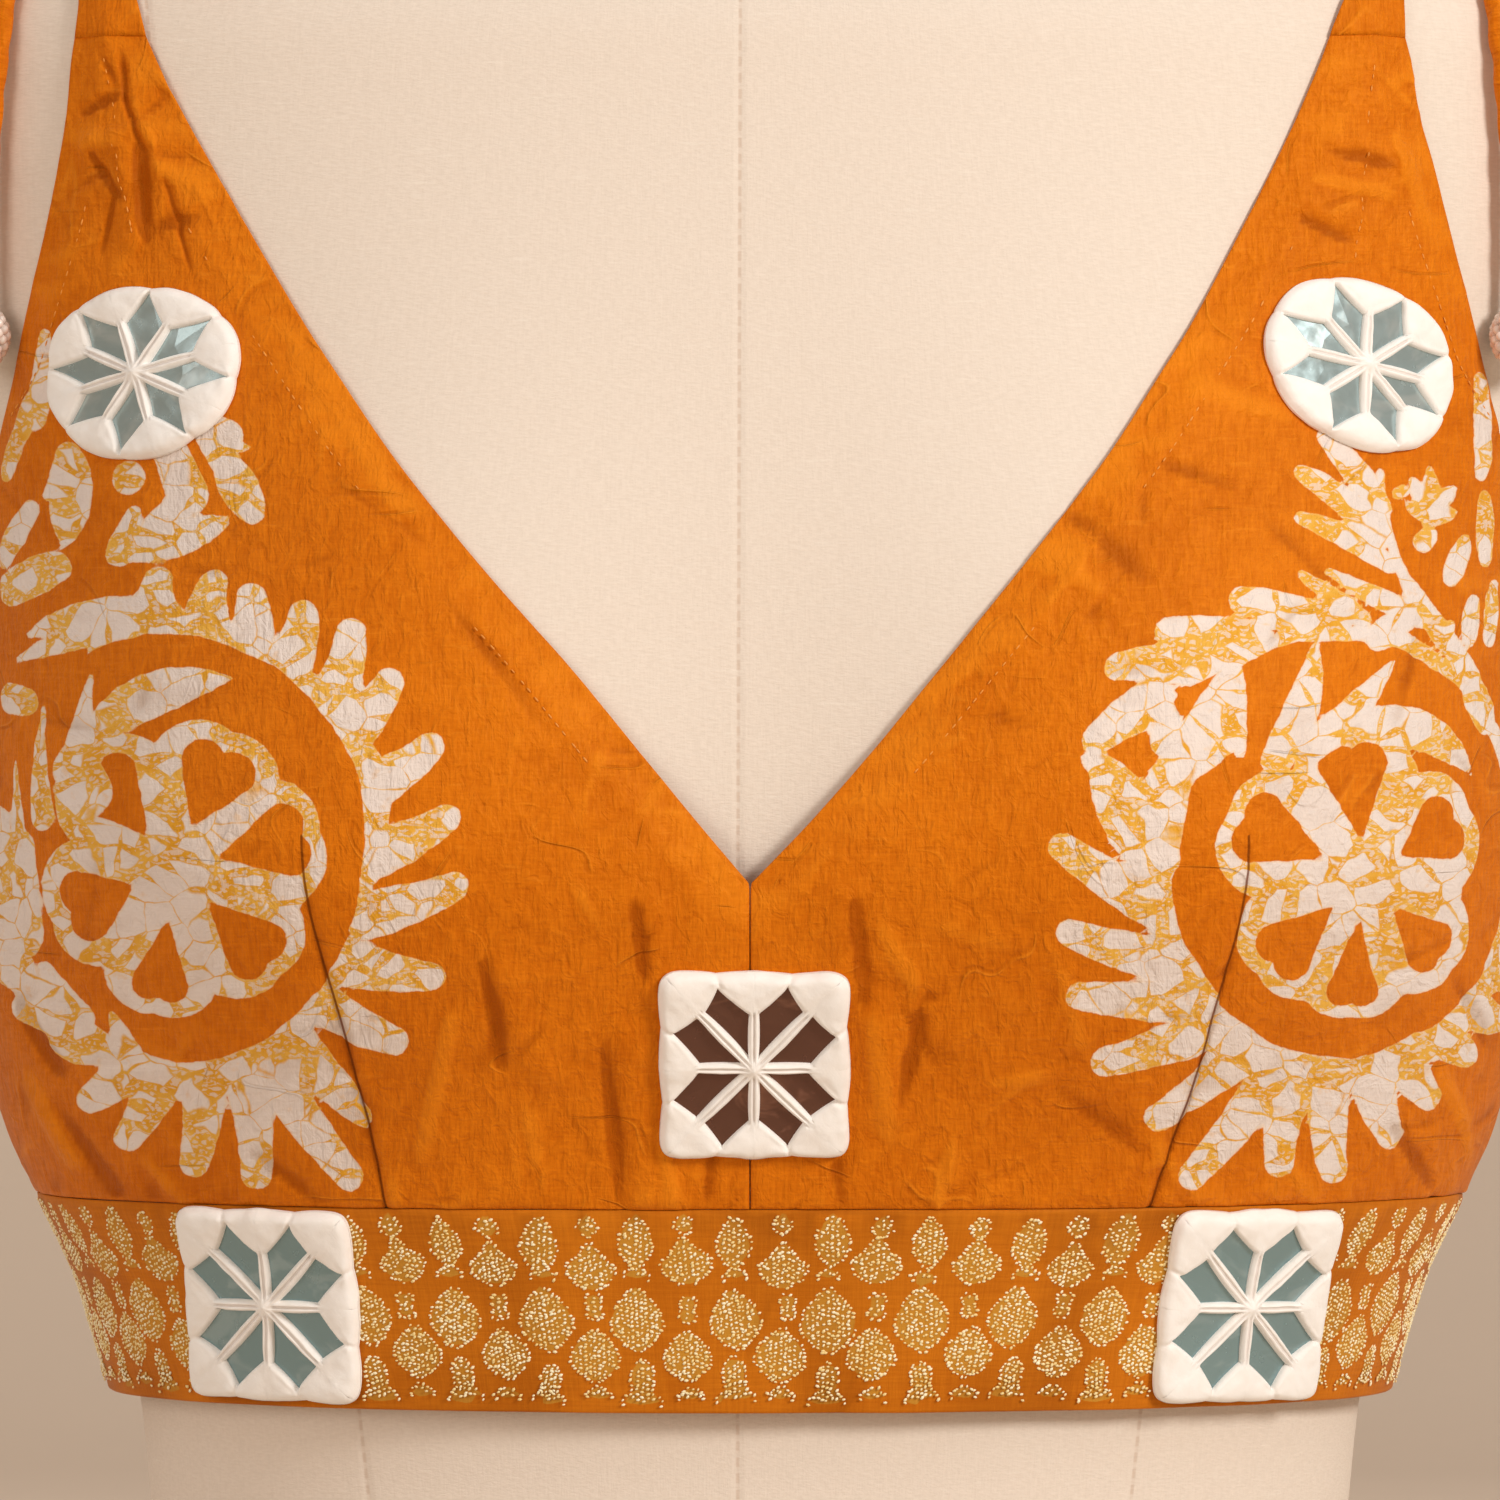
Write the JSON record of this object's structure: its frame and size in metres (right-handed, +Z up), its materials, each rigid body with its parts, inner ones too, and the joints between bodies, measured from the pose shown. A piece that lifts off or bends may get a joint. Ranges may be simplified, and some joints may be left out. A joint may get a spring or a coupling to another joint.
{
  "type": "silk blouse on a dress form",
  "caption": "Sleeveless cropped silk blouse with a deep V neck, tied shoulders, woven hem band and mirror patches, on a limbless dress form.",
  "frame": {"origin": "centre of the dress form's flat underside, on the surface that it stands on", "axes": "+Z up; the blouse faces -Y; +X is the wearer's left"},
  "size_m": [0.3678, 0.2509, 0.69],
  "materials": {
    "mustard_silk": "slubbed raw silk with a soft sheen",
    "gold_woven_silk": "silk with gold dots woven in",
    "cream_linen": "matte linen cover",
    "white_cotton": "soft puffy cotton",
    "grey_mirror": "grey mirror glass",
    "brown_mirror": "mirror glass with a brown reflection",
    "pearl_beads": "pearl beads"
  },
  "bodies": {
    "root": {"back_left": "mustard_silk", "back_right": "mustard_silk", "back_strap_left": "mustard_silk", "back_strap_right": "mustard_silk", "ball_back_left": "pearl_beads", "ball_back_right": "pearl_beads", "ball_front_left": "pearl_beads", "ball_front_right": "pearl_beads", "band_back_left": "gold_woven_silk", "band_back_right": "gold_woven_silk", "band_front": "gold_woven_silk", "dress_form": "cream_linen", "front_left": "mustard_silk", "front_right": "mustard_silk", "front_strap_left": "mustard_silk", "front_strap_right": "mustard_silk", "knot_left": "mustard_silk", "knot_right": "mustard_silk", "loop_inner_left": "mustard_silk", "loop_inner_right": "mustard_silk", "loop_outer_left": "mustard_silk", "loop_outer_right": "mustard_silk", "mirror_band_left": "grey_mirror", "mirror_band_right": "grey_mirror", "mirror_centre": "brown_mirror", "mirror_round_left": "grey_mirror", "mirror_round_right": "grey_mirror", "patch_band_left": "white_cotton", "patch_band_right": "white_cotton", "patch_centre": "white_cotton", "patch_round_left": "white_cotton", "patch_round_right": "white_cotton", "tail_back_left": "mustard_silk", "tail_back_right": "mustard_silk", "tail_front_left": "mustard_silk", "tail_front_right": "mustard_silk"}
  },
  "joints": []
}
